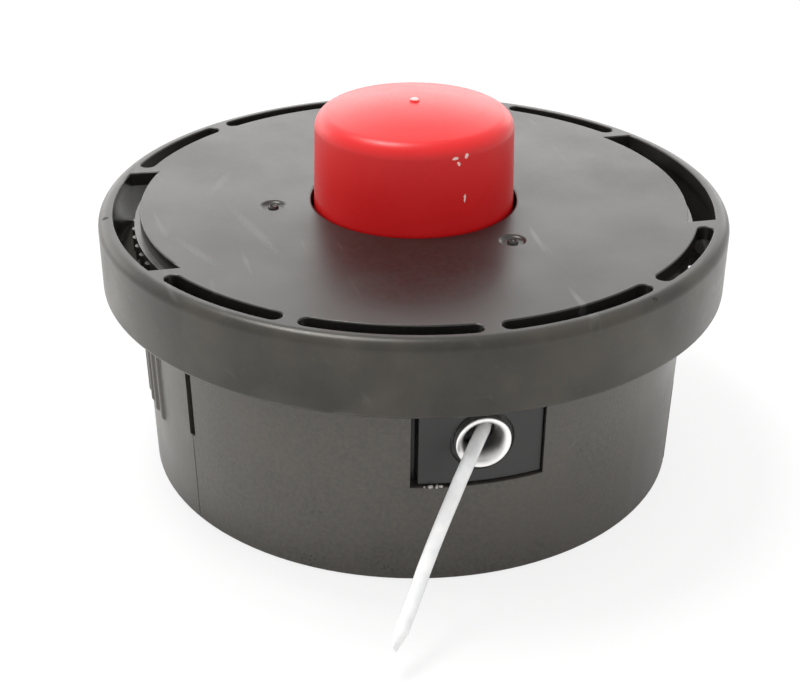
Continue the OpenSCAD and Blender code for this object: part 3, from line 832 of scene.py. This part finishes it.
windings = [winding("wound_line_upper", "upper_line_winding", 3.6),
            winding("wound_line_lower", "lower_line_winding", 3.6)]

# %% [markdown]
# Nylon line is cloudy: light enters it, scatters and leaves softly, so it reads as a milky white
# with a thin gloss. A pale, slowly changing base under a light coat does that, and a faint slow
# ripple keeps the drawn filament from being glassy.

# %% The nylon finish
def nylon(name):
    material, tree, shader, place = new_finish(name)
    cloud = remap(tree, noise(tree, place, 3 * MM, 3, 0.6), 0.3, 0.7)
    link(tree, blend(tree, cloud, grey(0.76, -0.01), grey(0.88, 0.01)), shader.inputs["Base Color"])
    shader.inputs["IOR"].default_value = 1.53
    shader.inputs["Coat Weight"].default_value = 0.25
    shader.inputs["Coat Roughness"].default_value = 0.15
    link(tree, remap(tree, cloud, 0, 1, 0.28, 0.4), shader.inputs["Roughness"])
    bump(tree, shader, noise(tree, place, 1.2 * MM, 1), 0.01 * MM)
    return {"material": material}


line_nylon = nylon("line nylon")
for piece in [line, *windings]:
    wear_finish(piece, line_nylon)

# %% [markdown]
# ## The feed spring
# The spring under the spool is a round wire. A sweep along its helix, with one closed turn at each
# end, gives the real round section. It flattens with the knob's travel; here it is coiled to the
# height of the solid that it stands for.

# %% Coil the spring
spring_low, spring_high = size_of("feed_spring")
WIRE_D = 1.6
SPRING_R = spring_high.x - WIRE_D / 2
FREE_COILS = 5


def coil_height(turn):
    low = spring_low.z + WIRE_D / 2
    high = spring_high.z - WIRE_D / 2
    full = FREE_COILS + 2
    if turn < 1:
        return low + turn * WIRE_D
    if turn > full - 1:
        return high - (full - turn) * WIRE_D
    return low + WIRE_D + (high - low - 2 * WIRE_D) * (turn - 1) / FREE_COILS


coil = [Vector((SPRING_R * math.cos(math.tau * i / 32), SPRING_R * math.sin(math.tau * i / 32),
                coil_height(i / 32))) * MM for i in range((FREE_COILS + 2) * 32 + 1)]
spring = sweep("round_wire_spring", coil, WIRE_D / 2 * MM * 0.98, 3)
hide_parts("feed_spring")
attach(spring, "head")
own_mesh(spring)
wear_finish(spring, spring_steel)

# %% [markdown]
# ## The drive nut
# The nut that the gear shaft screws into shows from below. A hexagon and a round flange are
# bevelled, bored through, and given a real left-hand thread: a ridge that the Screw modifier winds
# up the bore, from just inside one mouth to just inside the other.

# %% Build the nut and its thread
nut_low, nut_high = size_of("drive_nut")
NUT_AF = 17.0
NUT_HEX_H = 10.0
NUT_FLANGE_R = nut_high.x
THREAD_PITCH = 1.25
THREAD_MINOR = 4.35
THREAD_ROOT = 5.02


def boolean(piece, other, operation):
    make_active(piece)
    cut = piece.modifiers.new("cut", "BOOLEAN")
    cut.operation = operation
    cut.solver = "EXACT"
    cut.object = other
    bpy.ops.object.modifier_apply(modifier="cut")
    bpy.data.objects.remove(other)
    return piece


def thread():
    mesh = bpy.data.meshes.new("thread")
    tooth = [(THREAD_ROOT + 0.1, 0.02), (THREAD_MINOR, 0.52), (THREAD_MINOR, 0.73), (THREAD_ROOT + 0.1, 1.23)]
    start = nut_low.z + 0.9
    mesh.from_pydata([(r * MM, 0, (z + start) * MM) for r, z in tooth], [(0, 1), (1, 2), (2, 3), (3, 0)], [])
    ridge = bpy.data.objects.new("thread", mesh)
    scene.collection.objects.link(ridge)
    make_active(ridge)
    screw = ridge.modifiers.new("wind", "SCREW")
    screw.angle = -math.tau
    screw.screw_offset = THREAD_PITCH * MM
    screw.iterations = 7
    screw.steps = screw.render_steps = 32
    bpy.ops.object.modifier_apply(modifier="wind")
    bpy.ops.object.mode_set(mode="EDIT")
    bpy.ops.mesh.select_all(action="SELECT")
    bpy.ops.mesh.fill_holes(sides=4)
    bpy.ops.mesh.normals_make_consistent(inside=False)
    bpy.ops.object.mode_set(mode="OBJECT")
    bpy.ops.object.shade_smooth_by_angle(angle=math.radians(30))
    return ridge


def nut_body():
    bpy.ops.object.select_all(action="DESELECT")
    corner = NUT_AF / 2 / math.cos(math.pi / 6) * MM
    middle = (nut_low.z + NUT_HEX_H / 2) * MM
    bpy.ops.mesh.primitive_cylinder_add(vertices=6, radius=corner, depth=NUT_HEX_H * MM,
                                        location=(0, 0, middle))
    body = bpy.context.object
    body.name = "threaded_nut"
    body.rotation_euler = (0, 0, math.pi / 6)
    settle(body)
    round_edges(body, 0.35 * MM, everywhere)
    low = nut_low.z + NUT_HEX_H
    flange = spin("flange", [(0, low - 0.2), (NUT_FLANGE_R, low - 0.2), (NUT_FLANGE_R, nut_high.z - 0.3),
                             (NUT_FLANGE_R - 0.3, nut_high.z), (0, nut_high.z)], closed=False)
    boolean(body, flange, "UNION")
    mouth = THREAD_ROOT + 1.4
    bore = spin("bore", [(0, nut_low.z - 1), (mouth, nut_low.z - 1), (THREAD_ROOT, nut_low.z + 0.5),
                         (THREAD_ROOT, nut_high.z - 0.5), (mouth, nut_high.z + 1), (0, nut_high.z + 1)],
                closed=False)
    boolean(body, bore, "DIFFERENCE")
    make_active(body)
    bpy.ops.object.shade_smooth_by_angle(angle=math.radians(30))
    return body


nut = join(nut_body(), thread())
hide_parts("drive_nut")
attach(nut, "head")
wear_finish(nut, nut_steel)
print("nut faces:", len(nut.data.polygons), "narrowest radius:",
      round(min(math.hypot(v.co.x, v.co.y) for v in nut.data.vertices) / MM, 2), "mm")

# %% [markdown]
# ## The small steel pieces
# The rings, the washers and the spring cup keep their exact solids and get a steel finish.

# %% Finish the rings, washers and cup
SMALL_STEEL = {"knob_retaining_ring": (spring_steel, "spring_steel"),
               "nut_retaining_ring": (spring_steel, "spring_steel"),
               "spring_cup": (zinc_steel, "zinc_steel"), "spring_washer": (zinc_steel, "zinc_steel"),
               "nut_washer": (zinc_steel, "zinc_steel")}
for name, (finish, slot) in SMALL_STEEL.items():
    wear_finish(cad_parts[name], finish)

# %% [markdown]
# ## Crumbs in the notch
# A few pale crumbs of line and dry grass are caught on the notch's lower edge, beside the
# holder. They are small uneven grains, half sunk in the ledge.

# %% Scatter the crumbs
CRUMBS = [(-8.5, 0.42), (-7.5, 0.28), (-6.8, 0.3), (-9.5, 0.2), (-3.6, 0.16)]
CRUMB_R = 50.25
NOTCH_FOOT = 19.1


def crumb(name, across, radius, seed):
    depth = math.sqrt(CRUMB_R ** 2 - across ** 2)
    bpy.ops.object.select_all(action="DESELECT")
    bpy.ops.mesh.primitive_ico_sphere_add(subdivisions=2, radius=radius * MM)
    grain = bpy.context.object
    grain.name = name
    chance = random.Random(seed)
    for vertex in grain.data.vertices:
        vertex.co *= chance.uniform(0.7, 1.15)
    grain.scale = (1.5, 1, 0.7)
    grain.rotation_euler = (0, chance.uniform(-0.4, 0.4), chance.uniform(0, 3))
    grain.location = (across * MM, -depth * MM, (NOTCH_FOOT + radius * 0.2) * MM)
    return settle(grain)


grains = [crumb(f"crumb_{i}", across, radius, i) for i, (across, radius) in enumerate(CRUMBS)]
crumbs = join(*grains)
crumbs.name = "notch_crumbs"
crumb_pale = plastic("crumb pale", grey(0.42, 0.05), grey(0.75, 0.05), (0.5, 0.7), 0.1 * MM, 0.01 * MM)
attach(crumbs, "head")
wear_finish(crumbs, crumb_pale)
